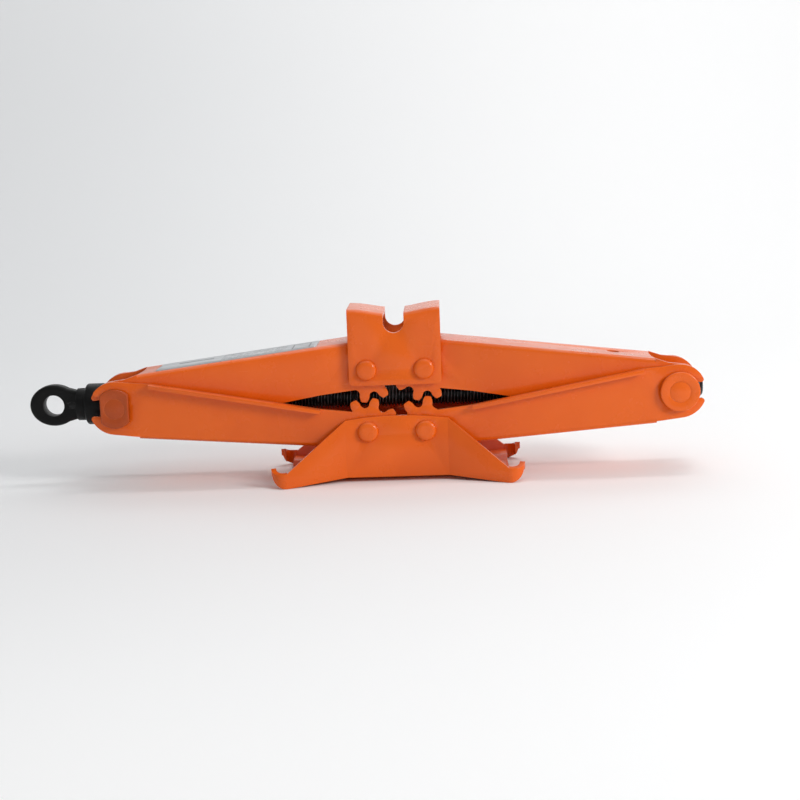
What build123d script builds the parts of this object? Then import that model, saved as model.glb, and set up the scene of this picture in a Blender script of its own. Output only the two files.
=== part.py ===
from build123d import *
import os
from math import acos, cos, pi, radians, sin, tan

# A scissor jack for a car, folded to its lowest height.
# The origin is on the floor under the middle of the base. X runs along the screw, Z is up.

os.makedirs("parts", exist_ok=True)

# ---- Linkage -------------------------------------------------------------------------------
ARM_LENGTH = 155.0          # gear pin to trunnion, centre to centre
REST_ANGLE = 6.9            # slope of the arms when the jack is folded, degrees
PIN_SPACING = 35.0          # between the two gear pins of the base, and of the saddle
BASE_PIN_HEIGHT = 31.0      # base pins above the floor
SLOPE = radians(REST_ANGLE)
TRUNNION_X = PIN_SPACING / 2 + ARM_LENGTH * cos(SLOPE)
SCREW_HEIGHT = BASE_PIN_HEIGHT + ARM_LENGTH * sin(SLOPE)
SADDLE_PIN_HEIGHT = 2 * SCREW_HEIGHT - BASE_PIN_HEIGHT

# ---- Sheet and how the channels nest across the jack ----------------------------------------
ARM_SHEET = 2.5
HEAVY_SHEET = 3.0           # base and saddle
NEST_GAP = 0.3              # between two sheets that turn past each other
BLOCK_HALF = 15.5           # half the length of a trunnion's thick middle
UPPER_INNER = BLOCK_HALF + NEST_GAP
UPPER_OUTER = UPPER_INNER + ARM_SHEET
LOWER_INNER = UPPER_OUTER + NEST_GAP
LOWER_OUTER = LOWER_INNER + ARM_SHEET
SADDLE_INNER = UPPER_OUTER + NEST_GAP
SADDLE_OUTER = SADDLE_INNER + HEAVY_SHEET
BASE_INNER = LOWER_OUTER + NEST_GAP
BASE_OUTER = BASE_INNER + HEAVY_SHEET
OUTER_BEND = 2.8            # radius outside a bend in the arm sheet
INNER_BEND = 0.8

# ---- Gear teeth cut into the ends of the arms -----------------------------------------------
TEETH = 9                   # in a whole circle
MESH_TEETH = 4              # left on each arm
PITCH_RADIUS = PIN_SPACING / 2
PRESSURE_ANGLE = 20.0
BACKLASH = 0.3
ADDENDUM = 2.7
DEDENDUM = 3.5
TIP_ROUND = 0.9
LEAD_TOOTH = -4.5           # nearest tooth to the line between the pins, degrees from it
FLANK_STEPS = 6
TOOTH_PITCH = 360 / TEETH
TOOTH_WIDTH = pi * PITCH_RADIUS / TEETH - BACKLASH
BASE_RADIUS = PITCH_RADIUS * cos(radians(PRESSURE_ANGLE))
TIP_RADIUS = PITCH_RADIUS + ADDENDUM
ROOT_RADIUS = PITCH_RADIUS - DEDENDUM

# ---- Arm outlines, measured along the arm (u) and across it (v, positive on the web side) ----
WEB_START = 7.0             # the web starts this far from the gear pin
WEB_STOP = 16.0             # and stops this far short of the trunnion
TAPER_START = 30.0          # where the walls begin to deepen
LOWER_WEB_NEAR = 11.6       # lower web's outer face from the arm's line, at the gear end
LOWER_WEB_FAR = 17.6
LOWER_EDGE_NEAR = 10.7      # lower free edge from the arm's line, at the gear end
UPPER_WEB = 18.0            # the upper web is parallel to its arm's line
UPPER_EDGE_NEAR = 11.3
FREE_EDGE_FAR = 16.8
LIP_STOP = 20.0             # the lips stop this far short of the trunnion
LIP_SHEET = 2.3
LIP_REACH = 5.0             # how far a lip stands out from its wall
EAR_RADIUS = 16.3
MOUTH_HEIGHT = 12.5         # slot that opens the end of each ear
MOUTH_ROUND = 1.6
BITE_DEPTH = 1.5            # hollow in the far end of each web
TOOLING_HOLE = 8.0          # in the upper right web
TOOLING_HOLE_FROM_TRUNNION = 40.0

# ---- Pins -----------------------------------------------------------------------------------
PIN_DIAMETER = 9.0
PIN_FIT = 0.03              # radial, where a pin is held
RUNNING_FIT = 0.06          # radial, where an arm turns on a pin
OPEN_PIVOT_FIT = 0.15       # radial, for the upper right arm on its saddle pin
RIVET_HEAD = 12.5
RIVET_RISE = 2.5
HEAD_GAP = 0.02             # between a head and the sheet under it

# ---- Trunnions and their caps ---------------------------------------------------------------
TRUNNION_DIAMETER = 24.0
TRUNNION_FLATS = 17.4       # across the two flats of the drive trunnion
JOURNAL_DIAMETER = 16.0
SPIGOT_DIAMETER = 12.4      # swaged through the caps
CAP_THICKNESS = 3.0
CAP_ROUND = 0.8
CAP_SEAT = LOWER_OUTER + NEST_GAP
CAP_FACE = CAP_SEAT + CAP_THICKNESS

# ---- Screw, eye and thrust bearing ----------------------------------------------------------
SCREW_DIAMETER = 14.0
SCREW_CLEARANCE = 0.25      # radial, in both trunnions
SCREW_PROUD = 4.4           # past the nut trunnion
SCREW_CHAMFER = 1.0
RACE_THICKNESS = 3.2
RACE_RIM = 0.75             # of a race, outside the balls
BALL_DIAMETER = 3.175
BALL_COUNT = 12
BALL_STANDOFF = 0.9         # from the screw to the balls
BALL_CIRCLE = SCREW_DIAMETER + 2 * BALL_STANDOFF + BALL_DIAMETER
BALL_GAP = 0.02
RACE_DIAMETER = BALL_CIRCLE + BALL_DIAMETER + 2 * RACE_RIM
CAGE_THICKNESS = 1.6
CAGE_FIT = 0.15
COVER_FIT = 0.2             # radial, round the races
COVER_WALL = 0.7
COVER_DIAMETER = RACE_DIAMETER + 2 * (COVER_FIT + COVER_WALL)
COVER_WEB = 3.1
COVER_ROUND = 1.6
COVER_LIFT = 2.0            # the cover's rim stops this far short of the trunnion's flat
COLLAR_DIAMETER = 20.0
COLLAR_LENGTH = 5.6
NECK_HEIGHT = 17.3
NECK_THICKNESS = 8.6
EYE_RADIUS = 12.8           # half the ring's height
EYE_REACH = 15.1            # half its length
EYE_HOLE = 13.2
EYE_CENTRE = 14.9           # from the collar's outer face to the middle of the ring
EYE_ROUND = 2.2
STUB_DIAMETER = 9.0         # screw's end inside the eye
STUB_LENGTH = 11.0
EYE_PIN_DIAMETER = 3.0
EYE_PIN_LENGTH = 17.0

FLAT_X = TRUNNION_X + TRUNNION_FLATS / 2
INNER_RACE_X = FLAT_X
BALL_X = INNER_RACE_X + RACE_THICKNESS + BALL_GAP + BALL_DIAMETER / 2
OUTER_RACE_X = BALL_X + BALL_DIAMETER / 2 + BALL_GAP
COVER_X = OUTER_RACE_X + RACE_THICKNESS
COLLAR_X = COVER_X + COVER_WEB
NECK_X = COLLAR_X + COLLAR_LENGTH
EYE_X = NECK_X + EYE_CENTRE

# ---- Saddle ---------------------------------------------------------------------------------
SADDLE_WIDTH = 56.0
SADDLE_BELOW_PINS = 9.3
SADDLE_ABOVE_PINS = 37.2
SADDLE_DIP = 3.3            # how far the top falls towards the slot
SADDLE_BEND = 3.0
SADDLE_CORNER = 3.0
SLOT_WIDTH = 12.5
SLOT_DEPTH = 11.6

# ---- Base -----------------------------------------------------------------------------------
WALL_ABOVE_PINS = 7.1       # at the ends of the wall's straight middle
WALL_TOP = BASE_PIN_HEIGHT + WALL_ABOVE_PINS
WALL_CROWN = 2.4            # extra height in the middle of the wall's top edge
WALL_HALF = 31.2            # half the straight middle of a base wall
WALL_FOOT = 3.0             # bottom edge of the middle of the wall
WING_LENGTH = 35.6          # along X, from the straight middle to the hook's corner
WING_SPREAD = 14.1          # how far the wing has moved out by then
WING_TIP_HEIGHT = 9.0
HOOK_RADIUS = 6.0           # at the middle of the sheet
HOOK_RUN = 2.0              # straight run behind the corner
HOOK_TURN = 100.0           # degrees round the corner
HOOK_TIP_HEIGHT = 12.0
HOOK_FOOT = 7.0             # the bottom edge has risen this far at the outside of the hook
PLATE_HALF = 68.0
PAD_HALF_WIDTH = 14.0
PAD_RISE = 3.0              # the margins stand this much higher than the pad
PAD_SLOPE = 5.0

# ---- Label ----------------------------------------------------------------------------------
LABEL_THICKNESS = 0.25
LABEL_WIDTH = 30.0
LABEL_LENGTH = 100.0
LABEL_FROM_TRUNNION = 27.0
LABEL_CORNER = 2.0


def save(piece, name):
    piece.label = name
    export_step(piece, f"parts/{name}.step")


def across(x, z):
    """Plane through a cross pin's middle, with its normal along Y."""
    return Plane(origin=(x, 0, z), x_dir=(1, 0, 0), z_dir=(0, -1, 0))


def along(x):
    """Plane across the screw's line at one place, with its normal along X."""
    return Plane(origin=(x, 0, SCREW_HEIGHT), x_dir=(0, 1, 0), z_dir=(1, 0, 0))


# ---- Arms -----------------------------------------------------------------------------------
def arm_plane(side, level):
    """Plane of an arm: origin on its gear pin, X along the arm, Y towards its web.

    side is -1 for left and 1 for right, level is -1 for lower and 1 for upper.
    """
    height = BASE_PIN_HEIGHT if level < 0 else SADDLE_PIN_HEIGHT
    return Plane(
        origin=(side * PIN_SPACING / 2, 0, height),
        x_dir=(side * cos(SLOPE), 0, -level * sin(SLOPE)),
        z_dir=(0, -side * level, 0),
    )


def polar(radius, angle):
    return (radius * cos(angle), radius * sin(angle))


def tooth_half_angle(radius):
    """Half the angle that an involute tooth covers at a radius, in radians."""
    at_pitch = radians(PRESSURE_ANGLE)
    at_radius = acos(BASE_RADIUS / radius)
    half_at_pitch = TOOTH_WIDTH / 2 / PITCH_RADIUS
    return half_at_pitch + (tan(at_pitch) - at_pitch) - (tan(at_radius) - at_radius)


def tooth_space():
    """The space between two teeth, centred on +X and open past the tips."""
    beyond = TIP_RADIUS + ADDENDUM / 2
    step = (beyond - BASE_RADIUS) / FLANK_STEPS
    radii = [BASE_RADIUS + step * i for i in range(FLANK_STEPS + 1)]
    flank = [polar(r, pi / TEETH - tooth_half_angle(r)) for r in radii]
    other = [(x, -y) for x, y in flank]
    with BuildSketch(mode=Mode.PRIVATE) as space:
        with BuildLine():
            Spline(*flank)
            Line(flank[-1], other[-1])
            Spline(*other[::-1])
            ThreePointArc(other[0], (ROOT_RADIUS, 0), flank[0])
        make_face()
    return space.sketch


def gear_teeth(first):
    """The teeth of one arm, from the first tooth's angle onwards, in the arm's own axes."""
    reach = TIP_RADIUS * 2
    half = radians(TOOTH_PITCH / 2)
    wedge = [(0, 0), polar(reach, -half), polar(reach, half)]
    sweep = TOOTH_PITCH * MESH_TEETH
    with BuildSketch(mode=Mode.PRIVATE) as kept:
        with PolarLocations(0, MESH_TEETH, start_angle=first, angular_range=sweep):
            Polygon(*wedge, align=None)
    with BuildSketch(mode=Mode.PRIVATE) as teeth:
        Circle(TIP_RADIUS)
        with PolarLocations(0, TEETH, start_angle=first + TOOTH_PITCH / 2):
            add(tooth_space(), mode=Mode.SUBTRACT)
        tips = [v for v in teeth.vertices() if Vector(v.X, v.Y).length > TIP_RADIUS - TIP_ROUND]
        fillet(tips, radius=TIP_ROUND)
        add(kept.sketch, mode=Mode.INTERSECT)
    return teeth.sketch


def web_line(level):
    """The web's outer face in the arm's own axes, from the gear end to the trunnion end."""
    near = LOWER_WEB_NEAR if level < 0 else UPPER_WEB
    far = LOWER_WEB_FAR if level < 0 else UPPER_WEB
    return [(WEB_START, near), (ARM_LENGTH - WEB_STOP, far)]


def free_edge(level):
    """The open side's edge in the arm's own axes, along the stretch that carries the lip."""
    near = LOWER_EDGE_NEAR if level < 0 else UPPER_EDGE_NEAR
    return [(TAPER_START, -near), (ARM_LENGTH - LIP_STOP, -FREE_EDGE_FAR)]


def wall_outline(level, first_tooth):
    """Side view of an arm: gear end, tapering wall and ear."""
    web = web_line(level)
    edge = free_edge(level)
    blend = ARM_LENGTH - EAR_RADIUS / 2
    shoulder = [(web[1][0], EAR_RADIUS)] if level < 0 else []
    with BuildSketch(mode=Mode.PRIVATE) as wall:
        Circle(ROOT_RADIUS)
        add(gear_teeth(first_tooth))
        Polygon((0, edge[0][1]), edge[0], edge[1], (blend, -EAR_RADIUS), (ARM_LENGTH, -EAR_RADIUS),
                (ARM_LENGTH, EAR_RADIUS), (blend, EAR_RADIUS), *shoulder, web[1], web[0],
                (WEB_START, 0), (0, 0), align=None)
        with Locations((ARM_LENGTH, 0)):
            Circle(EAR_RADIUS)
            Circle(JOURNAL_DIAMETER / 2 + RUNNING_FIT, mode=Mode.SUBTRACT)
        with Locations((ARM_LENGTH + EAR_RADIUS, 0)):
            Rectangle(2 * EAR_RADIUS, MOUTH_HEIGHT, mode=Mode.SUBTRACT)
        ear_end = [v for v in wall.vertices()
                   if v.X > ARM_LENGTH + JOURNAL_DIAMETER / 2 and abs(v.Y) < MOUTH_HEIGHT]
        fillet(ear_end, radius=MOUTH_ROUND)
    return wall.sketch


def channel_inside(plane, level, half_width):
    """The space inside an arm's channel, open at both ends and at the free edge."""
    web = [(u, v - ARM_SHEET) for u, v in web_line(level)]
    far_out = 2 * TIP_RADIUS
    end = ARM_LENGTH + far_out
    with BuildPart() as inside:
        with BuildSketch(plane):
            Polygon((-far_out, -far_out), (end, -far_out), (end, far_out), (web[1][0], far_out),
                    web[1], web[0], (web[0][0], far_out), (-far_out, far_out), align=None)
        extrude(amount=half_width, both=True)
        bends = long_edges(inside, plane, web, half_width)
        fillet(bends, radius=INNER_BEND)
    return inside.part


def long_edges(part, plane, line, half_width):
    """The edges where the web's face along a line meets the two walls."""
    (u0, v0), (u1, v1) = line
    found = []
    for edge in part.edges().filter_by(GeomType.LINE):
        middle = plane.to_local_coords(edge.center())
        beside_wall = abs(abs(middle.Z) - half_width) < NEST_GAP / 2
        line_height = v0 + (v1 - v0) * (middle.X - u0) / (u1 - u0)
        if beside_wall and abs(middle.Y - line_height) < NEST_GAP / 2 and u0 < middle.X < u1:
            found.append(edge)
    return found


def bend_waste(plane, line, half_width):
    """What rounding takes off the two outer corners along a web."""
    start, end = [plane.from_local_coords((u, v, 0)) for u, v in line]
    section = Plane(origin=start, x_dir=plane.z_dir, z_dir=(end - start).normalized())
    centre = half_width - OUTER_BEND
    outside = half_width + OUTER_BEND
    with BuildPart() as waste:
        with BuildSketch(section):
            Polygon((centre, -OUTER_BEND), (outside, -OUTER_BEND), (outside, OUTER_BEND),
                    (centre, OUTER_BEND), align=None)
            with Locations((centre, OUTER_BEND)):
                Circle(OUTER_BEND, mode=Mode.SUBTRACT)
            mirror(about=Plane.YZ)
        extrude(amount=(end - start).length)
    return waste.part


def make_arm(side, level, pin_fit, phase, holed=False):
    """One arm. phase is the angle of its tooth nearest the line between the two gear pins."""
    plane = arm_plane(side, level)
    half = LOWER_OUTER if level < 0 else UPPER_OUTER
    inside_half = half - ARM_SHEET
    first_tooth = phase - (180 - REST_ANGLE)
    web = web_line(level)
    edge = free_edge(level)
    lip_start = inside_half if level < 0 else inside_half - LIP_REACH
    lip_end = half + LIP_REACH if level < 0 else half
    inside = channel_inside(plane, level, inside_half)
    with BuildPart() as arm:
        with BuildSketch(plane):
            add(wall_outline(level, first_tooth))
        extrude(amount=half, both=True)
        add(bend_waste(plane, web, half), mode=Mode.SUBTRACT)
        add(inside, mode=Mode.SUBTRACT)
        for hand in (-1, 1):
            with BuildSketch(plane.offset(hand * lip_start)):
                Polygon(edge[0], edge[1], (edge[1][0], edge[1][1] + LIP_SHEET),
                        (edge[0][0], edge[0][1] + LIP_SHEET), align=None)
            extrude(amount=hand * (lip_end - lip_start))
        with BuildSketch(plane):
            Circle(PIN_DIAMETER / 2 + pin_fit)
        extrude(amount=half, both=True, mode=Mode.SUBTRACT)
        roof = Plane(origin=plane.from_local_coords((web[1][0], web[1][1], 0)),
                     x_dir=plane.x_dir, z_dir=plane.y_dir)
        bite_radius = (inside_half ** 2 + BITE_DEPTH ** 2) / (2 * BITE_DEPTH)
        with BuildSketch(roof):
            with Locations((bite_radius - BITE_DEPTH, 0)):
                Circle(bite_radius)
            Rectangle(2 * bite_radius, 2 * inside_half, mode=Mode.INTERSECT)
        extrude(amount=2 * ARM_SHEET, both=True, mode=Mode.SUBTRACT)
        if holed:
            with BuildSketch(roof):
                with Locations((WEB_STOP - TOOLING_HOLE_FROM_TRUNNION, 0)):
                    Circle(TOOLING_HOLE / 2)
            extrude(amount=2 * ARM_SHEET, both=True, mode=Mode.SUBTRACT)
    return arm.part


HALF_PITCH = TOOTH_PITCH / 2
save(make_arm(-1, -1, RUNNING_FIT, LEAD_TOOTH), "lower_left_arm")
save(make_arm(1, -1, RUNNING_FIT, LEAD_TOOTH - HALF_PITCH), "lower_right_arm")
save(make_arm(-1, 1, RUNNING_FIT, LEAD_TOOTH - HALF_PITCH), "upper_left_arm")
save(make_arm(1, 1, OPEN_PIVOT_FIT, LEAD_TOOTH, holed=True), "upper_right_arm")


# ---- Rivets ---------------------------------------------------------------------------------
def make_rivet(x, z, grip):
    """A domed rivet along Y. grip is half the thickness that it holds together."""
    face = grip + HEAD_GAP
    with BuildPart() as rivet:
        with BuildSketch(Plane(origin=(x, 0, z), x_dir=(1, 0, 0), z_dir=(0, 0, 1))):
            with BuildLine():
                Line((0, 0), (0, face + RIVET_RISE))
                Spline((0, face + RIVET_RISE), (RIVET_HEAD / 2, face), tangents=((1, 0), (0, -1)))
                Polyline((RIVET_HEAD / 2, face), (PIN_DIAMETER / 2, face), (PIN_DIAMETER / 2, 0), (0, 0))
            make_face()
        revolve(axis=Axis((x, 0, z), (0, 1, 0)))
        mirror(about=Plane.XZ)
    return rivet.part


for side, hand in ((-1, "left"), (1, "right")):
    pin_x = side * PIN_SPACING / 2
    save(make_rivet(pin_x, BASE_PIN_HEIGHT, BASE_OUTER), f"base_pin_{hand}")
    save(make_rivet(pin_x, SADDLE_PIN_HEIGHT, SADDLE_OUTER), f"saddle_pin_{hand}")


# ---- Saddle ---------------------------------------------------------------------------------
def saddle_face(drop):
    """Front view of the saddle's block, its top lowered by drop."""
    half = SADDLE_WIDTH / 2
    bottom = SADDLE_PIN_HEIGHT - SADDLE_BELOW_PINS - drop
    top = SADDLE_PIN_HEIGHT + SADDLE_ABOVE_PINS - drop
    with BuildSketch(mode=Mode.PRIVATE) as face:
        with BuildLine():
            Polyline((0, top - SADDLE_DIP), (0, bottom), (half, bottom), (half, top))
            Spline((half, top), (0, top - SADDLE_DIP), tangents=((-1, 0), (-1, 0)))
        make_face()
        mirror(about=Plane.YZ)
    return face.sketch


with BuildPart() as saddle_inside:
    with BuildSketch(Plane.XZ):
        add(saddle_face(HEAVY_SHEET))
        with Locations((0, SADDLE_PIN_HEIGHT)):
            Rectangle(2 * SADDLE_WIDTH, SADDLE_WIDTH / 2)
    extrude(amount=SADDLE_INNER, both=True)

with BuildPart() as saddle:
    with BuildSketch(Plane.XZ):
        add(saddle_face(0))
    extrude(amount=SADDLE_OUTER, both=True)
    feet = saddle.edges().filter_by(Axis.Y).group_by(Axis.Z)[0]
    fillet(feet, radius=SADDLE_CORNER)
    brow = [e for e in saddle.edges() if abs(abs(e.center().Y) - SADDLE_OUTER) < NEST_GAP
            and e.geom_type != GeomType.LINE and e.center().Z > SADDLE_PIN_HEIGHT]
    fillet(brow, radius=SADDLE_BEND)
    add(saddle_inside.part, mode=Mode.SUBTRACT)
    slot_floor = SADDLE_PIN_HEIGHT + SADDLE_ABOVE_PINS - SADDLE_DIP - SLOT_DEPTH
    with BuildSketch(Plane.XZ):
        with Locations((0, slot_floor + SLOT_WIDTH / 2)):
            Circle(SLOT_WIDTH / 2)
        with Locations((0, slot_floor + SLOT_WIDTH / 2 + SLOT_DEPTH)):
            Rectangle(SLOT_WIDTH, 2 * SLOT_DEPTH)
        with Locations((-PIN_SPACING / 2, SADDLE_PIN_HEIGHT), (PIN_SPACING / 2, SADDLE_PIN_HEIGHT)):
            Circle(PIN_DIAMETER / 2 + PIN_FIT)
    extrude(amount=SADDLE_OUTER, both=True, mode=Mode.SUBTRACT)
save(saddle.part, "saddle")


# ---- Base -----------------------------------------------------------------------------------
def wing_path():
    """Points where the right front wing's mid-line starts, meets its hook and leaves the curve."""
    y0 = (BASE_INNER + BASE_OUTER) / 2
    return Vector(WALL_HALF, -y0), Vector(WALL_HALF + WING_LENGTH, -y0 - WING_SPREAD)


def wall_strip():
    """Plan view of the right half of the front wall with its wing and hook."""
    start, corner = wing_path()
    flare = (corner - start).normalized()
    with BuildSketch(mode=Mode.PRIVATE) as strip:
        with BuildLine():
            Line((0, start.Y), start)
            Line(start, corner)
            bend = JernArc(start=corner, tangent=flare, radius=HOOK_RADIUS, arc_size=HOOK_TURN)
            Line(bend @ 1, bend @ 1 + (bend % 1) * HOOK_RUN)
        trace(line_width=HEAVY_SHEET)
    return strip.sketch


def wall_side():
    """Side view that trims the right half of the front wall."""
    start, corner = wing_path()
    reach = corner.X + 2 * HOOK_RADIUS
    outside = corner.X + HOOK_RADIUS + HEAVY_SHEET
    with BuildSketch(mode=Mode.PRIVATE) as side_view:
        with BuildLine():
            Polyline((0, WALL_TOP + WALL_CROWN), (0, WALL_FOOT), (start.X, WALL_FOOT), (corner.X, 0))
            TangentArc((corner.X, 0), (outside, HOOK_FOOT), tangent=(1, 0))
            Polyline((outside, HOOK_FOOT), (reach, HOOK_FOOT), (reach, WALL_TOP),
                     (corner.X, WING_TIP_HEIGHT), (start.X, WALL_TOP))
            TangentArc((0, WALL_TOP + WALL_CROWN), (start.X, WALL_TOP), tangent=(1, 0))
        make_face()
    return side_view.sketch


def hook_profile():
    """End view that trims the right hook's top edge, low at the corner and high at its tip."""
    start, corner = wing_path()
    out = corner.Y - 2 * HOOK_RADIUS
    tip = corner.Y + HOOK_RADIUS + HOOK_RUN
    with BuildSketch(mode=Mode.PRIVATE) as profile:
        with BuildLine():
            Polyline((out, 0), (out, WING_TIP_HEIGHT), (corner.Y, WING_TIP_HEIGHT),
                     (tip, HOOK_TIP_HEIGHT), (tip, 0), (out, 0))
        make_face()
    return profile.sketch


wing_start, wing_corner = wing_path()
FAR = 4 * WALL_TOP          # longer than any cut through the base needs

with BuildPart() as hook_room:
    with BuildSketch(Plane.YZ.offset(wing_corner.X)):
        add(hook_profile())
    extrude(amount=3 * HOOK_RADIUS)
    with BuildSketch(Plane.XZ):
        with Locations((wing_corner.X / 2, WALL_TOP / 2)):
            Rectangle(wing_corner.X, 2 * WALL_TOP)
    extrude(amount=FAR)

with BuildPart() as wall:
    with BuildSketch():
        add(wall_strip())
    extrude(amount=WALL_TOP + WALL_CROWN)
    with BuildSketch(Plane.XZ):
        add(wall_side())
    extrude(amount=FAR, mode=Mode.INTERSECT)
    add(hook_room.part, mode=Mode.INTERSECT)

with BuildPart() as base:
    rise_start = PAD_HALF_WIDTH + PAD_SLOPE
    with BuildSketch(Plane.YZ):
        with BuildLine():
            Polyline((0, 0), (PAD_HALF_WIDTH, 0), (rise_start, PAD_RISE), (FAR, PAD_RISE),
                     (FAR, PAD_RISE + HEAVY_SHEET), (rise_start, PAD_RISE + HEAVY_SHEET),
                     (PAD_HALF_WIDTH, HEAVY_SHEET), (0, HEAVY_SHEET), (0, 0))
        make_face()
        mirror(about=Plane.YZ)
    extrude(amount=PLATE_HALF, both=True)
    creases = base.edges().filter_by(Axis.X).filter_by(lambda e: abs(e.center().Y) < FAR / 2)
    fillet(creases, radius=INNER_BEND)
    with BuildSketch():
        with BuildLine():
            far_x = PLATE_HALF
            far_y = wing_start.Y + (wing_corner.Y - wing_start.Y) * (far_x - WALL_HALF) / WING_LENGTH
            Polyline((0, wing_start.Y), (wing_start.X, wing_start.Y), (far_x, far_y), (far_x, 0), (0, 0),
                     (0, wing_start.Y))
        make_face()
        mirror(about=Plane.XZ)
        mirror(about=Plane.YZ)
    extrude(amount=WALL_TOP, mode=Mode.INTERSECT)
    add(wall.part)
    add(wall.part.mirror(Plane.XZ))
    mirror(about=Plane.YZ)
    with BuildSketch(Plane.XZ):
        with Locations((-PIN_SPACING / 2, BASE_PIN_HEIGHT), (PIN_SPACING / 2, BASE_PIN_HEIGHT)):
            Circle(PIN_DIAMETER / 2 + PIN_FIT)
    extrude(amount=2 * BASE_OUTER, both=True, mode=Mode.SUBTRACT)
save(base.part, "base")


# ---- Trunnions ------------------------------------------------------------------------------
def make_trunnion(side, flats):
    """Cross bar with a journal and a cap spigot at each end, bored for the screw."""
    x = side * TRUNNION_X
    with BuildPart() as bar:
        with BuildSketch(across(x, SCREW_HEIGHT)):
            Circle(TRUNNION_DIAMETER / 2)
            if flats:
                Rectangle(TRUNNION_FLATS, TRUNNION_DIAMETER, mode=Mode.INTERSECT)
        extrude(amount=BLOCK_HALF, both=True)
        for diameter, reach in ((JOURNAL_DIAMETER, CAP_SEAT), (SPIGOT_DIAMETER, CAP_FACE)):
            with BuildSketch(across(x, SCREW_HEIGHT)):
                Circle(diameter / 2)
            extrude(amount=reach, both=True)
        with BuildSketch(along(x)):
            Circle(SCREW_DIAMETER / 2 + SCREW_CLEARANCE)
        extrude(amount=TRUNNION_DIAMETER, both=True, mode=Mode.SUBTRACT)
    return bar.part


def make_cap(side, flats, hand):
    """Disc swaged on a spigot. hand is -1 at the front and 1 at the rear."""
    plane = across(side * TRUNNION_X, SCREW_HEIGHT).offset(-hand * (CAP_SEAT + HEAD_GAP))
    with BuildPart() as cap:
        with BuildSketch(plane):
            Circle(TRUNNION_DIAMETER / 2)
            if flats:
                Rectangle(TRUNNION_FLATS, TRUNNION_DIAMETER, mode=Mode.INTERSECT)
        extrude(amount=-hand * CAP_THICKNESS)
        rim = cap.edges().group_by(Axis.Y)[-1 if hand > 0 else 0]
        fillet(rim, radius=CAP_ROUND)
        with BuildSketch(plane):
            Circle(SPIGOT_DIAMETER / 2 + PIN_FIT)
        extrude(amount=-hand * 2 * CAP_THICKNESS, mode=Mode.SUBTRACT)
    return cap.part


for side, name, flats in ((-1, "drive", True), (1, "nut", False)):
    save(make_trunnion(side, flats), f"{name}_trunnion")
    save(make_cap(side, flats, -1), f"{name}_cap_front")
    save(make_cap(side, flats, 1), f"{name}_cap_rear")


# ---- Screw and eye --------------------------------------------------------------------------
def disc(x, thickness, diameter, bore=0.0):
    """A plain ring on the screw's line, reaching from x away from the jack's middle."""
    with BuildPart() as ring:
        with BuildSketch(along(-x)):
            Circle(diameter / 2)
            if bore:
                Circle(bore / 2, mode=Mode.SUBTRACT)
        extrude(amount=-thickness)
    return ring.part


SCREW_BORE = SCREW_DIAMETER + 2 * SCREW_CLEARANCE
screw_end = TRUNNION_X + TRUNNION_DIAMETER / 2 + SCREW_PROUD
with BuildPart() as screw:
    with BuildSketch(along(-COLLAR_X)):
        Circle(SCREW_DIAMETER / 2)
    extrude(amount=COLLAR_X + screw_end)
    chamfer(screw.edges().group_by(Axis.X)[-1], length=SCREW_CHAMFER)
    with BuildSketch(along(-COLLAR_X)):
        Circle(STUB_DIAMETER / 2)
    extrude(amount=-STUB_LENGTH)
    with BuildSketch(Plane.XY.offset(SCREW_HEIGHT)):
        with Locations((-(COLLAR_X + COLLAR_LENGTH / 2), 0)):
            Circle(EYE_PIN_DIAMETER / 2 + PIN_FIT)
    extrude(amount=SCREW_DIAMETER, both=True, mode=Mode.SUBTRACT)
save(screw.part, "lifting_screw")

with BuildPart() as eye:
    with BuildSketch(across(-EYE_X, SCREW_HEIGHT)):
        Ellipse(EYE_REACH, EYE_RADIUS)
        neck_reach = EYE_X - NECK_X
        Polygon((0, -EYE_RADIUS), (neck_reach, -NECK_HEIGHT / 2), (neck_reach, NECK_HEIGHT / 2),
                (0, EYE_RADIUS), align=None)
    extrude(amount=NECK_THICKNESS / 2, both=True)
    fillet(eye.edges().filter_by(lambda e: abs(abs(e.center().Y) - NECK_THICKNESS / 2) < NEST_GAP
                                 and e.center().X < -NECK_X - NEST_GAP), radius=EYE_ROUND)
    with BuildSketch(along(-COLLAR_X)):
        Circle(COLLAR_DIAMETER / 2)
    extrude(amount=-COLLAR_LENGTH)
    with BuildSketch(across(-EYE_X, SCREW_HEIGHT)):
        Circle(EYE_HOLE / 2)
    extrude(amount=NECK_THICKNESS, both=True, mode=Mode.SUBTRACT)
    with BuildSketch(along(-COLLAR_X)):
        Circle(STUB_DIAMETER / 2 + PIN_FIT)
    extrude(amount=-(STUB_LENGTH + NEST_GAP), mode=Mode.SUBTRACT)
    with BuildSketch(Plane.XY.offset(SCREW_HEIGHT)):
        with Locations((-(COLLAR_X + COLLAR_LENGTH / 2), 0)):
            Circle(EYE_PIN_DIAMETER / 2 + PIN_FIT)
    extrude(amount=COLLAR_DIAMETER, both=True, mode=Mode.SUBTRACT)
save(eye.part, "drive_eye")

with BuildPart() as eye_pin:
    with BuildSketch(Plane.XY.offset(SCREW_HEIGHT)):
        with Locations((-(COLLAR_X + COLLAR_LENGTH / 2), 0)):
            Circle(EYE_PIN_DIAMETER / 2)
    extrude(amount=EYE_PIN_LENGTH / 2, both=True)
save(eye_pin.part, "eye_pin")

# ---- Thrust bearing -------------------------------------------------------------------------
save(disc(INNER_RACE_X, RACE_THICKNESS, RACE_DIAMETER, SCREW_BORE), "inner_race")
save(disc(OUTER_RACE_X, RACE_THICKNESS, RACE_DIAMETER, SCREW_BORE), "outer_race")

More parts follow.
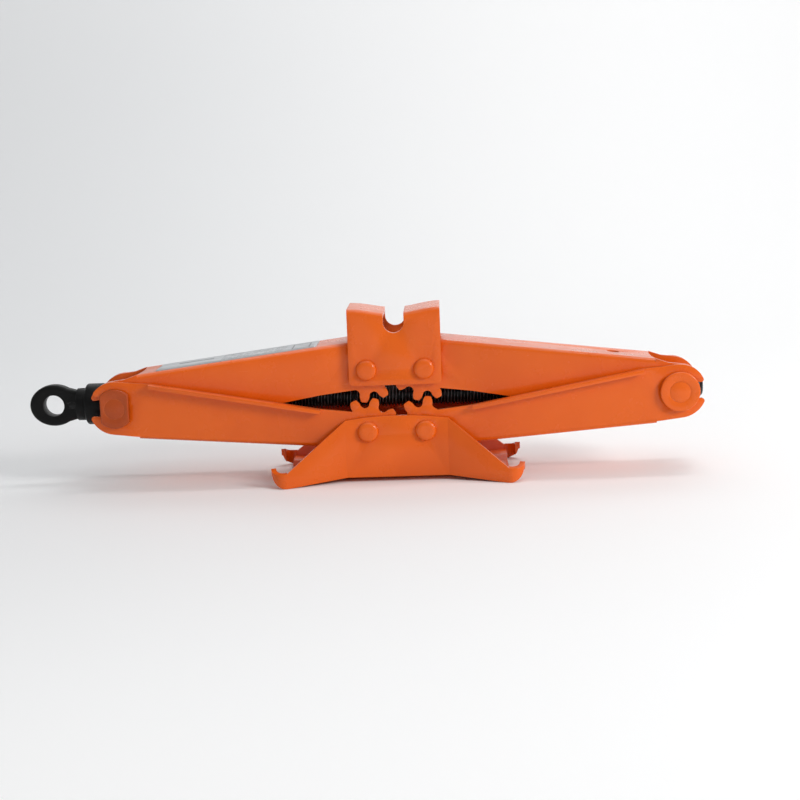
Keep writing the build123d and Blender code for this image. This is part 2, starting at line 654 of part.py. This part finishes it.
with BuildPart() as balls:
    with BuildSketch(along(-BALL_X), mode=Mode.PRIVATE) as ball_ring:
        with PolarLocations(BALL_CIRCLE / 2, BALL_COUNT):
            Circle(BALL_DIAMETER / 2)
    with Locations(*[face.center() for face in ball_ring.sketch.faces()]):
        Sphere(BALL_DIAMETER / 2)
save(balls.part, "bearing_balls")

with BuildPart() as cage:
    with BuildSketch(along(-BALL_X)):
        Circle(RACE_DIAMETER / 2)
        Circle(SCREW_BORE / 2 + CAGE_FIT, mode=Mode.SUBTRACT)
        with PolarLocations(BALL_CIRCLE / 2, BALL_COUNT):
            Circle(BALL_DIAMETER / 2 + CAGE_FIT, mode=Mode.SUBTRACT)
    extrude(amount=CAGE_THICKNESS / 2, both=True)
save(cage.part, "ball_cage")

with BuildPart() as cover:
    with BuildSketch(along(-COLLAR_X)):
        Circle(COVER_DIAMETER / 2)
    extrude(amount=COLLAR_X - FLAT_X - COVER_LIFT)
    fillet(cover.edges().group_by(Axis.X)[0], radius=COVER_ROUND)
    with BuildSketch(along(-COVER_X)):
        Circle(COVER_DIAMETER / 2 - COVER_WALL)
    extrude(amount=COVER_X, mode=Mode.SUBTRACT)
    with BuildSketch(along(-COLLAR_X)):
        Circle(SCREW_DIAMETER / 2 + PIN_FIT)
    extrude(amount=COVER_X, mode=Mode.SUBTRACT)
save(cover.part, "thrust_cover")

# ---- Rating label ---------------------------------------------------------------------------
label_plane = arm_plane(-1, 1)
label_end = ARM_LENGTH - LABEL_FROM_TRUNNION
label_origin = label_plane.from_local_coords((label_end, UPPER_WEB, 0))
with BuildPart() as label:
    with BuildSketch(Plane(origin=label_origin, x_dir=label_plane.x_dir, z_dir=label_plane.y_dir)):
        with Locations((-LABEL_LENGTH / 2, 0)):
            RectangleRounded(LABEL_LENGTH, LABEL_WIDTH, LABEL_CORNER)
    extrude(amount=LABEL_THICKNESS)
save(label.part, "rating_label")
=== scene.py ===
import math
import bpy
from mathutils import Matrix, Vector


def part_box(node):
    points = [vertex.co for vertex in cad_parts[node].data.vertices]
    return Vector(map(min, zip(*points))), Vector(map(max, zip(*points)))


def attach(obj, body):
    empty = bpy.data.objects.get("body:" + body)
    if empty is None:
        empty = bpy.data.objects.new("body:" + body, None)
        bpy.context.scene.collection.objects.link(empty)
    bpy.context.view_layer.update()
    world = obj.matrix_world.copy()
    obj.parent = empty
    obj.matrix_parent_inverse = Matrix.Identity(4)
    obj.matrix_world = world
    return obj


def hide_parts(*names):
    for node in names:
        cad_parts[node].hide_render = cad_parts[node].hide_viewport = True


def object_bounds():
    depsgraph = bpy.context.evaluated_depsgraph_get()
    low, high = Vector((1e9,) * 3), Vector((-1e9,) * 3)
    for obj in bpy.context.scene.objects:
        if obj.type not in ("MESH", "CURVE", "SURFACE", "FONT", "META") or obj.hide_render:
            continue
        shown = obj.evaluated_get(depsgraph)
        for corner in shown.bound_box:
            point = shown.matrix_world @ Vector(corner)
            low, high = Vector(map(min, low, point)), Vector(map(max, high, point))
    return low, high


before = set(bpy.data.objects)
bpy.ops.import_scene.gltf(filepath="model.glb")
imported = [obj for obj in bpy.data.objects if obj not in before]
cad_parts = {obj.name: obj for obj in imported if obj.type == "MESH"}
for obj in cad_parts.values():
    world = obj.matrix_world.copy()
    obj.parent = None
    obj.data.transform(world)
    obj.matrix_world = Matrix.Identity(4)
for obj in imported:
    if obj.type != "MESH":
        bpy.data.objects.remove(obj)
cad_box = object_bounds()

# A scissor jack for a car, orange powder coat on pressed steel, folded flat on a pale floor.
# Lengths are in metres. +X runs along the screw towards its nut, +Z is up.

MM = 0.001
EDGE_STARTS = 0.01    # how far a normal turns, as 1 - cosine, before it counts as an edge
EDGE_FULL = 0.12


# ---- Shader recipes -------------------------------------------------------------------------
class Value:
    """A socket that carries a number. Arithmetic on it adds Math nodes."""

    def __init__(self, recipe, socket):
        self.recipe = recipe
        self.socket = socket

    def __add__(self, other):
        return self.recipe.math("ADD", self, other)

    def __sub__(self, other):
        return self.recipe.math("SUBTRACT", self, other)

    def __mul__(self, other):
        return self.recipe.math("MULTIPLY", self, other)

    def __truediv__(self, other):
        return self.recipe.math("DIVIDE", self, other)

    def __rtruediv__(self, other):
        return self.recipe.math("DIVIDE", other, self)

    def __radd__(self, other):
        return self.recipe.math("ADD", other, self)

    def __rsub__(self, other):
        return self.recipe.math("SUBTRACT", other, self)

    def __rmul__(self, other):
        return self.recipe.math("MULTIPLY", other, self)

    def power(self, exponent):
        return self.recipe.math("POWER", self, exponent)

    def above(self, level):
        return self.recipe.math("GREATER_THAN", self, level)

    def between(self, low, high):
        return self.above(low) * (1 - self.above(high))

    def ramp(self, low, high):
        """0 up to low, 1 from high on, smooth between."""
        limits = {"Value": self, "From Min": low, "From Max": high}
        settings = {"interpolation_type": "SMOOTHSTEP"}
        return self.recipe.node("ShaderNodeMapRange", settings, limits)


class Recipe:
    """A material as it is built up, in the piece's own coordinates."""

    def __init__(self, name):
        self.material = bpy.data.materials.new(name)
        self.material.use_nodes = True
        self.tree = self.material.node_tree
        self.tree.nodes.clear()
        self.place = self.node("ShaderNodeTexCoord", output="Object")

    def node(self, kind, settings=None, inputs=None, output=0):
        made = self.tree.nodes.new(kind)
        for key, setting in (settings or {}).items():
            setattr(made, key, setting)
        for key, given in (inputs or {}).items():
            if isinstance(given, Value):
                self.tree.links.new(given.socket, made.inputs[key])
            else:
                made.inputs[key].default_value = given
        return Value(self, made.outputs[output])

    def math(self, operation, *terms):
        return self.node("ShaderNodeMath", {"operation": operation}, dict(enumerate(terms)))

    def stretched(self, scale):
        return self.node("ShaderNodeMapping", None, {"Vector": self.place, "Scale": scale})

    def noise(self, size, detail=3.0, roughness=0.55, place=None):
        """Noise whose features are about size across."""
        inputs = {"Vector": place or self.place, "Scale": 1 / size, "Detail": detail}
        inputs["Roughness"] = roughness
        return self.node("ShaderNodeTexNoise", None, inputs)

    def grains(self, size):
        inputs = {"Vector": self.place, "Scale": 1 / size}
        return self.node("ShaderNodeTexVoronoi", {"feature": "F1"}, inputs)

    def axes(self):
        return [self.node("ShaderNodeSeparateXYZ", None, {0: self.place}, i) for i in range(3)]

    def facing_up(self):
        normal = self.node("ShaderNodeTexCoord", output="Normal")
        return self.node("ShaderNodeSeparateXYZ", None, {0: normal}, 2)

    def edges(self, width):
        """1 on convex and concave edges, 0 on the flats."""
        rounded = self.node("ShaderNodeBevel", {"samples": 4}, {"Radius": width})
        true = self.node("ShaderNodeNewGeometry", output="Normal")
        same = self.node("ShaderNodeVectorMath", {"operation": "DOT_PRODUCT"},
                         {0: rounded, 1: true}, "Value")
        return (1 - same).ramp(EDGE_STARTS, EDGE_FULL)

    def mix(self, factor, first, second):
        inputs = {0: factor, 6: first, 7: second}
        return self.node("ShaderNodeMix", {"data_type": "RGBA"}, inputs, 2)

    def bump(self, height, distance, strength=1.0, normal=None):
        inputs = {"Height": height, "Distance": distance, "Strength": strength}
        if normal:
            inputs["Normal"] = normal
        return self.node("ShaderNodeBump", None, inputs)

    def surface(self, **sockets):
        inputs = {key.replace("_", " "): given for key, given in sockets.items()}
        shader = self.node("ShaderNodeBsdfPrincipled", None, inputs)
        end = self.tree.nodes.new("ShaderNodeOutputMaterial")
        self.tree.links.new(shader.socket, end.inputs["Surface"])
        return self.material


def rgb(red, green, blue):
    """A colour given as it looks, turned into the light values that shaders take."""
    return tuple((c / 255) ** 2.2 for c in (red, green, blue)) + (1.0,)


# ---- Finishes -------------------------------------------------------------------------------
ORANGE = rgb(228, 97, 15)
ORANGE_DEEP = rgb(216, 86, 11)
ORANGE_WORN = rgb(234, 122, 58)
ORANGE_THIN = rgb(150, 58, 16)
DUST = rgb(214, 200, 188)
BLACKENED = rgb(20, 20, 20)
BLACKENED_WORN = rgb(66, 65, 64)
GREASE = rgb(12, 11, 10)
STEEL = rgb(176, 176, 178)
BRASS = rgb(186, 150, 86)
FOIL_BRIGHT = rgb(196, 199, 201)
FOIL_DULL = rgb(170, 173, 176)
INK = rgb(92, 94, 98)

PAINT_PATCH = 34 * MM       # slow shifts in the paint's tone
PAINT_SPECKLE = 0.35 * MM
PAINT_WORN_EDGE = 0.7 * MM
PAINT_CHIP = 3.5 * MM
PAINT_RUBBED = 22 * MM      # areas where scuffs gather
PAINT_SMUDGE = 15 * MM
DUST_PATCH = 26 * MM
PEEL_WAVE = 2.1 * MM        # orange peel, wide and fine
PEEL_RIPPLE = 0.9 * MM
PEEL_HEIGHT = 0.10 * MM
SCUFF_DEPTH = 0.02 * MM
CLEAN_PAINT_ROUGHNESS = 0.22

FORGED_SCALE = 4.5 * MM
FORGED_PIT = 1.6 * MM
FORGED_WORN_EDGE = 0.8 * MM
FORGED_CHIP = 2.2 * MM
FORGED_RELIEF = 0.25 * MM

OIL_PATCH = 5 * MM
OIL_RELIEF = 0.06 * MM
RUBBED_CREST = 3 * MM
CREST_FADE_FROM = 0.35 * MM    # how far below the crest the rubbed band begins and is full
CREST_FADE_TO = 0.05 * MM
PLAIN_END = 2 * MM

STEEL_FILM = 4 * MM
TOOL_MARK_DEPTH = 0.02 * MM
FOIL_CREASE = 11 * MM
FOIL_GRAIN = 0.5 * MM
FOIL_RELIEF = 0.25 * MM


def powder_coat(name, peel=0.14, scuffs=1.0, dullness=0.0, thin=0.0):
    """Orange powder coat: orange peel, thin paint on the edges, scuffs and settled dust."""
    coat = Recipe(name)
    patches = coat.noise(PAINT_PATCH, 2).ramp(0.35, 0.68)
    speckle = coat.noise(PAINT_SPECKLE, 2).ramp(0.3, 0.75)
    edge = coat.edges(PAINT_WORN_EDGE) * coat.noise(PAINT_CHIP, 4).ramp(0.34, 0.62)
    scratch_place = coat.stretched((60, 900, 900))
    scratches = coat.noise(1.0, 2, place=scratch_place).ramp(0.69, 0.76)
    rubbed = coat.noise(PAINT_RUBBED, 3).ramp(0.52, 0.7)
    scuff = scratches * rubbed * scuffs
    dust = coat.facing_up().ramp(0.3, 0.95) * coat.noise(DUST_PATCH, 2).ramp(0.2, 0.8)
    colour = coat.mix(patches * 0.45, ORANGE, ORANGE_DEEP)
    colour = coat.mix(patches * 0.2 + thin, colour, ORANGE_THIN) if thin else colour
    colour = coat.mix(speckle * 0.10, colour, ORANGE_WORN)
    colour = coat.mix(edge * 0.45, colour, ORANGE_WORN)
    colour = coat.mix(scuff * 0.55, colour, ORANGE_WORN)
    colour = coat.mix(dust * 0.12, colour, DUST)
    smudge = coat.noise(PAINT_SMUDGE, 4).ramp(0.35, 0.75)
    rough = smudge * 0.10 + scuff * 0.20 + dust * 0.10 + edge * 0.06
    rough = rough + (CLEAN_PAINT_ROUGHNESS + dullness)
    waves = coat.noise(PEEL_WAVE, 2) * 0.6 + coat.noise(PEEL_RIPPLE, 2) * 0.4
    normal = coat.bump(waves, PEEL_HEIGHT, peel)
    normal = coat.bump(scuff, SCUFF_DEPTH, 0.35, normal)
    return coat.surface(Base_Color=colour, Roughness=rough, Normal=normal, IOR=1.5,
                        Specular_IOR_Level=0.3, Coat_Roughness=0.08, Coat_Weight=0.2)


def black_oxide(name, roughness=0.42, forged=0.5):
    """Blackened forging: scale pits, dull sheen, steel showing on the rubbed edges."""
    black = Recipe(name)
    scale = black.noise(FORGED_SCALE, 5, 0.62)
    pits = 1 - black.grains(FORGED_PIT).ramp(0.05, 0.4)
    edge = black.edges(FORGED_WORN_EDGE) * black.noise(FORGED_CHIP, 4).ramp(0.4, 0.62)
    colour = black.mix(scale.ramp(0.35, 0.7) * 0.5, BLACKENED, GREASE)
    colour = black.mix(edge * 0.7, colour, BLACKENED_WORN)
    rough = scale * 0.22 + (roughness - 0.08) - edge * 0.06
    normal = black.bump(scale * 0.8 - pits * 0.2, FORGED_RELIEF, forged)
    return black.surface(Base_Color=colour, Roughness=rough, Normal=normal,
                         Specular_IOR_Level=0.18, Metallic=edge * 0.5)


def oiled_thread(name):
    """Black oiled thread with the crests rubbed bright by the nut."""
    thread = Recipe(name)
    x, y, z = thread.axes()
    height = z - SCREW_AXIS_Z
    radius = (y * y + height * height).power(0.5)
    crest = radius.ramp(THREAD_CREST - CREST_FADE_FROM, THREAD_CREST - CREST_FADE_TO)
    inside_thread = x.between(THREAD_START, screw_high.x - PLAIN_END)
    rubbed = crest * inside_thread * thread.noise(RUBBED_CREST, 3).ramp(0.35, 0.6)
    film = thread.noise(OIL_PATCH, 4)
    colour = thread.mix(film.ramp(0.4, 0.65) * 0.6, BLACKENED, GREASE)
    colour = thread.mix(rubbed * 0.42, colour, STEEL)
    rough = film * 0.2 + 0.22
    normal = thread.bump(film, OIL_RELIEF, 0.4)
    return thread.surface(Base_Color=colour, Roughness=rough, Normal=normal,
                          Specular_IOR_Level=0.3, Metallic=rubbed * 0.6)


def ground_steel(name, colour=STEEL):
    """Turned and ground metal with fine rings of tool marks and an oil film."""
    steel = Recipe(name)
    marks = steel.noise(1.0, 2, place=steel.stretched((9000, 500, 500)))
    film = steel.noise(STEEL_FILM, 4)
    shade = steel.mix(film.ramp(0.45, 0.7) * 0.45, colour, BLACKENED_WORN)
    return steel.surface(Base_Color=shade, Roughness=film * 0.2 + marks * 0.1 + 0.14, Metallic=1.0,
                         Normal=steel.bump(marks, TOOL_MARK_DEPTH, 0.5))


PRINT_ROWS = 9.0
INK_STRENGTH = 0.62


def printed_foil(name, lowest, highest):
    """Silver foil with rows of plain grey bars and one framed box, and no lettering."""
    foil = Recipe(name)
    x, y, z = foil.axes()
    along = (x - lowest.x) / (highest.x - lowest.x)
    across = (y - lowest.y) / (highest.y - lowest.y)
    rows = foil.math("FRACT", across * PRINT_ROWS).between(0.3, 0.62)
    words = foil.noise(1.0, 1, place=foil.stretched((420, 130, 0))).ramp(0.44, 0.47)
    block = along.between(0.40, 0.80) * across.between(0.12, 0.88)
    frame_outer = along.between(0.84, 0.955) * across.between(0.16, 0.84)
    frame_inner = along.between(0.85, 0.945) * across.between(0.20, 0.80)
    heading = along.between(0.12, 0.34) * across.between(0.58, 0.72)
    ink = rows * words * block + (frame_outer - frame_inner) + heading
    printed = foil.math("MINIMUM", ink, 1.0)
    creases = foil.noise(FOIL_CREASE, 4)
    grain = foil.noise(FOIL_GRAIN, 2, place=foil.stretched((0.15, 1, 1)))
    silver = foil.mix(creases.ramp(0.35, 0.7) * 0.5, FOIL_BRIGHT, FOIL_DULL)
    colour = foil.mix(printed * INK_STRENGTH, silver, INK)
    return foil.surface(Base_Color=colour, Roughness=creases * 0.15 + ink * 0.15 + 0.32,
                        Metallic=0.35 - printed * 0.3,
                        Normal=foil.bump(creases + grain * 0.1, FOIL_RELIEF, 0.5))


# ---- Places taken from the frame ------------------------------------------------------------
screw_low, screw_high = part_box("lifting_screw")
SCREW_AXIS_Z = (screw_low.z + screw_high.z) / 2
THREAD_CREST = (screw_high.y - screw_low.y) / 2
THREAD_PITCH = 2.0 * MM
THREAD_DEPTH = 1.1 * MM
THREAD_START = -158 * MM    # the shank is plain through the drive end
CREST_END = 0.22            # the thread's corners along one pitch
ROOT_START = 0.50
ROOT_END = 0.72
END_LIP = 1.2 * MM          # turned end past the last turn of thread
END_DROP = 0.1 * MM
END_CHAMFER = 1.3 * MM
STUB_LENGTH = 11 * MM       # held inside the eye
STUB_RADIUS = 4.5 * MM
ROUND_STEPS = 28
label_low, label_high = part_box("rating_label")

paint = powder_coat("orange_powder_coat")
paint_base = powder_coat("orange_powder_coat_base", scuffs=1.5, dullness=0.05)
paint_cap = powder_coat("orange_powder_coat_caps", scuffs=1.4, dullness=0.04)
paint_drive = powder_coat("orange_thin_paint_on_drive_end", scuffs=1.6, dullness=0.22, thin=0.72)
black_forging = black_oxide("black_oxide_forging")
black_turned = black_oxide("black_oxide_turned", 0.36, 0.25)
screw_black = oiled_thread("oiled_black_thread")
bare_steel = ground_steel("ground_steel")
cage_brass = ground_steel("stamped_brass", BRASS)
foil = printed_foil("silver_label_foil", label_low, label_high)

FINISHES = {
    "base": paint_base, "base_pin_left": paint, "base_pin_right": paint,
    "lower_left_arm": paint, "lower_right_arm": paint,
    "upper_left_arm": paint, "upper_right_arm": paint,
    "saddle": paint, "saddle_pin_left": paint, "saddle_pin_right": paint,
    "drive_trunnion": paint_drive, "drive_cap_front": paint_drive, "drive_cap_rear": paint_drive,
    "nut_trunnion": paint_cap, "nut_cap_front": paint_cap, "nut_cap_rear": paint_cap,
    "drive_eye": black_forging, "thrust_cover": black_turned, "eye_pin": bare_steel,
    "inner_race": bare_steel, "outer_race": bare_steel, "bearing_balls": bare_steel,
    "ball_cage": cage_brass, "rating_label": foil, "lifting_screw": screw_black,
}


WELD_REACH = 0.002 * MM
SHEET_EDGE = 0.35 * MM
CORNER_ANGLE = 32.0       # degrees; gentler corners are left as they are


def dress(node, finish, softening):
    """Gives a node its finish and takes the sharpness off its sheet edges."""
    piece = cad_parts[node]
    piece.data.materials.clear()
    piece.data.materials.append(finish)
    weld = piece.modifiers.new("join_faces", "WELD")
    weld.merge_threshold = WELD_REACH
    if softening:
        bevel = piece.modifiers.new("soft_edges", "BEVEL")
        bevel.width = softening
        bevel.segments = 2
        bevel.limit_method = "ANGLE"
        bevel.angle_limit = math.radians(CORNER_ANGLE)
        bevel.harden_normals = True
        bevel.use_clamp_overlap = True
    for face in piece.data.polygons:
        face.use_smooth = True


ALREADY_ROUND = ("base_pin_left", "base_pin_right", "saddle_pin_left", "saddle_pin_right",
                 "bearing_balls", "rating_label")
SOFT_EDGE = {"base": 0.55 * MM, "saddle": 0.5 * MM, "drive_eye": 0.6 * MM}
SOFT_EDGE.update(dict.fromkeys(ALREADY_ROUND, 0.0))
for node_name, node_finish in FINISHES.items():
    dress(node_name, node_finish, SOFT_EDGE.get(node_name, SHEET_EDGE))


# ---- Threaded screw -------------------------------------------------------------------------
class Shell:
    """Points and faces of a turned piece on the screw's line."""

    def __init__(self):
        self.points = []
        self.faces = []

    def point(self, x, radius, step):
        angle = 2 * math.pi * step / ROUND_STEPS
        self.points.append((x, radius * math.sin(angle), SCREW_AXIS_Z + radius * math.cos(angle)))
        return len(self.points) - 1

    def ring(self, x, radius):
        return [self.point(x, radius, step) for step in range(ROUND_STEPS)]

    def band(self, first, second):
        """Faces between two closed rows of points."""
        for i in range(ROUND_STEPS):
            j = (i + 1) % ROUND_STEPS
            self.faces.append((first[i], second[i], second[j], first[j]))

    def turned(self, outline):
        """Rings through a list of (x, radius), joined one to the next."""
        rings = [self.ring(x, radius) for x, radius in outline]
        for first, second in zip(rings, rings[1:]):
            self.band(first, second)
        return rings


def helical_thread(shell, start, turns):
    """A helical thread as rows of corners. Returns its first and last edge, one turn each."""
    root = THREAD_CREST - THREAD_DEPTH
    section = [(0.0, THREAD_CREST), (CREST_END, THREAD_CREST), (ROOT_START, root), (ROOT_END, root)]
    steps = turns * ROUND_STEPS
    rows = []
    for step in range(steps + 1):
        shift = start + THREAD_PITCH * step / ROUND_STEPS
        rows.append([shell.point(shift + THREAD_PITCH * part, radius, step) for part, radius in section])
    last = start + THREAD_PITCH * steps / ROUND_STEPS
    tail = [shell.point(last + THREAD_PITCH * step / ROUND_STEPS, THREAD_CREST, step)
            for step in range(1, ROUND_STEPS + 1)]
    edge = [row[0] for row in rows] + tail
    for step, row in enumerate(rows):
        row.append(edge[step + ROUND_STEPS])
    for here, there in zip(rows, rows[1:]):
        for k in range(len(section)):
            shell.faces.append((here[k], here[k + 1], there[k + 1], there[k]))
    return rows, edge


def threaded_screw():
    shell = Shell()
    ledge = screw_low.x + STUB_LENGTH
    turns = int((screw_high.x - THREAD_START) / THREAD_PITCH) - 2
    rings = shell.turned([(screw_low.x, STUB_RADIUS), (ledge, STUB_RADIUS), (ledge, THREAD_CREST),
                          (THREAD_START - THREAD_PITCH, THREAD_CREST)])
    rows, edge = helical_thread(shell, THREAD_START, turns)
    shank = rings[-1]
    tail = shell.turned([(screw_high.x - END_LIP, THREAD_CREST - END_DROP),
                         (screw_high.x, THREAD_CREST - END_CHAMFER)])
    head_edge, tail_edge = edge[:ROUND_STEPS + 1], edge[-ROUND_STEPS - 1:]
    for i in range(ROUND_STEPS):
        j = (i + 1) % ROUND_STEPS
        shell.faces.append((shank[i], head_edge[i], head_edge[i + 1], shank[j]))
        shell.faces.append((tail_edge[i], tail[0][i], tail[0][j], tail_edge[i + 1]))
    shell.faces.append((shank[0], *rows[0][::-1]))
    shell.faces.append((tail[0][0], *rows[-1]))
    shell.faces.append(tuple(rings[0]))
    shell.faces.append(tuple(tail[-1][::-1]))
    mesh = bpy.data.meshes.new("threaded_screw")
    mesh.from_pydata(shell.points, [], shell.faces)
    mesh.materials.append(screw_black)
    piece = bpy.data.objects.new("threaded_screw", mesh)
    bpy.context.scene.collection.objects.link(piece)
    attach(piece, "screw")
    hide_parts("lifting_screw")


threaded_screw()


# ---- Camera, floor and light ----------------------------------------------------------------
CAMERA_PLACE = Vector((0.0312, -0.9512, 0.2032))
CAMERA_TURN = -1.77    # degrees
CAMERA_DOWN = 9.38
CAMERA_LEAN = 2.06
LENS = 70              # mm
FILM_WIDTH = 36        # mm
SKY_COLOUR = (0.97, 0.985, 1.0, 1)
SKY_STRENGTH = 0.4


def aim(thing, place, target):
    thing.location = place
    thing.rotation_euler = (Vector(target) - Vector(place)).to_track_quat("-Z", "Y").to_euler()


def add_camera():
    data = bpy.data.cameras.new("camera")
    data.lens = LENS
    data.sensor_width = FILM_WIDTH
    data.clip_start = 0.01
    camera = bpy.data.objects.new("camera", data)
    bpy.context.scene.collection.objects.link(camera)
    turn, down, lean = (math.radians(a) for a in (CAMERA_TURN, CAMERA_DOWN, CAMERA_LEAN))
    look = Matrix.Rotation(-turn, 4, "Z") @ Matrix.Rotation(math.pi / 2 - down, 4, "X")
    look = look @ Matrix.Rotation(-lean, 4, "Z")
    camera.matrix_world = Matrix.Translation(CAMERA_PLACE) @ look
    bpy.context.scene.camera = camera


PAPER_WIDTH = 6.0
PAPER_FRONT = -2.0
PAPER_BACK = 1.5
PAPER_RISE = 2.2
PAPER_BEND = 0.9       # radius of the curve up into the backdrop


def add_floor():
    """A pale sheet that runs back and curves up into the backdrop."""
    width, front, back, rise, bend = PAPER_WIDTH, PAPER_FRONT, PAPER_BACK, PAPER_RISE, PAPER_BEND
    profile = [(front, 0.0), (back - bend, 0.0)]
    bend_steps = 16
    for i in range(1, bend_steps + 1):
        angle = math.pi / 2 * i / bend_steps
        profile.append((back - bend + bend * math.sin(angle), bend - bend * math.cos(angle)))
    profile.append((back, rise))
    points = [(x, y, z) for y, z in profile for x in (-width / 2, width / 2)]
    faces = [(2 * i, 2 * i + 1, 2 * i + 3, 2 * i + 2) for i in range(len(profile) - 1)]
    mesh = bpy.data.meshes.new("backdrop")
    mesh.from_pydata(points, [], faces)
    for face in mesh.polygons:
        face.use_smooth = True
    backdrop = bpy.data.objects.new("backdrop", mesh)
    bpy.context.scene.collection.objects.link(backdrop)
    paper = Recipe("pale_paper")
    x, y, z = paper.axes()
    # Painted light and shade: the paper is painted darker towards the left and pure white towards the
    # front and high up the backdrop, as the light falls there; the faint grain mixed in last is the
    # paper's own.
    painted_light_front_and_top = paper.math("MAXIMUM", (0.05 - y).ramp(0.15, 0.6), z.ramp(0.25, 1.1))
    painted_shade_and_paper_tone = paper.mix(x.ramp(-0.5, 0.4), rgb(232, 233, 234), rgb(248, 248, 248))
    painted_shade_and_paper_tone = paper.mix(painted_light_front_and_top, painted_shade_and_paper_tone, rgb(255, 255, 255))
    painted_shade_and_paper_tone = paper.mix(paper.noise(0.5, 2) * 0.1, painted_shade_and_paper_tone, rgb(228, 229, 230))
    mesh.materials.append(paper.surface(Base_Color=painted_shade_and_paper_tone, Roughness=0.7, Specular_IOR_Level=0.2))


def add_light(name, place, target, size, watts, colour=(1, 1, 1)):
    data = bpy.data.lights.new(name, "AREA")
    data.shape = "RECTANGLE"
    data.size, data.size_y = size
    data.energy = watts
    data.color = colour
    light = bpy.data.objects.new(name, data)
    bpy.context.scene.collection.objects.link(light)
    aim(light, place, target)


add_camera()
add_floor()
middle = (cad_box[0] + cad_box[1]) / 2
add_light("key_right", (1.3, -0.85, 0.75), middle, size=(0.5, 0.4), watts=14.7,
          colour=(1.0, 0.99, 0.98))
add_light("overhead_strip", (0.3, -0.1, 1.15), middle, size=(0.8, 0.12), watts=1.0)
add_light("back_top", (0.1, 0.9, 1.2), middle, size=(1.6, 0.6), watts=2.2)
add_light("front_floor", (0.1, -0.9, 1.5), (0.1, -0.7, 0.0), size=(1.4, 0.4), watts=2.0)
add_light("backdrop_wash", (0.5, 0.3, 2.0), (0.3, 1.4, 1.1), size=(1.2, 0.5), watts=12.3)
world = bpy.data.worlds.new("studio")
world.use_nodes = True
world.node_tree.nodes["Background"].inputs["Color"].default_value = SKY_COLOUR
world.node_tree.nodes["Background"].inputs["Strength"].default_value = SKY_STRENGTH
bpy.context.scene.world = world
bpy.context.scene.view_settings.view_transform = "Standard"
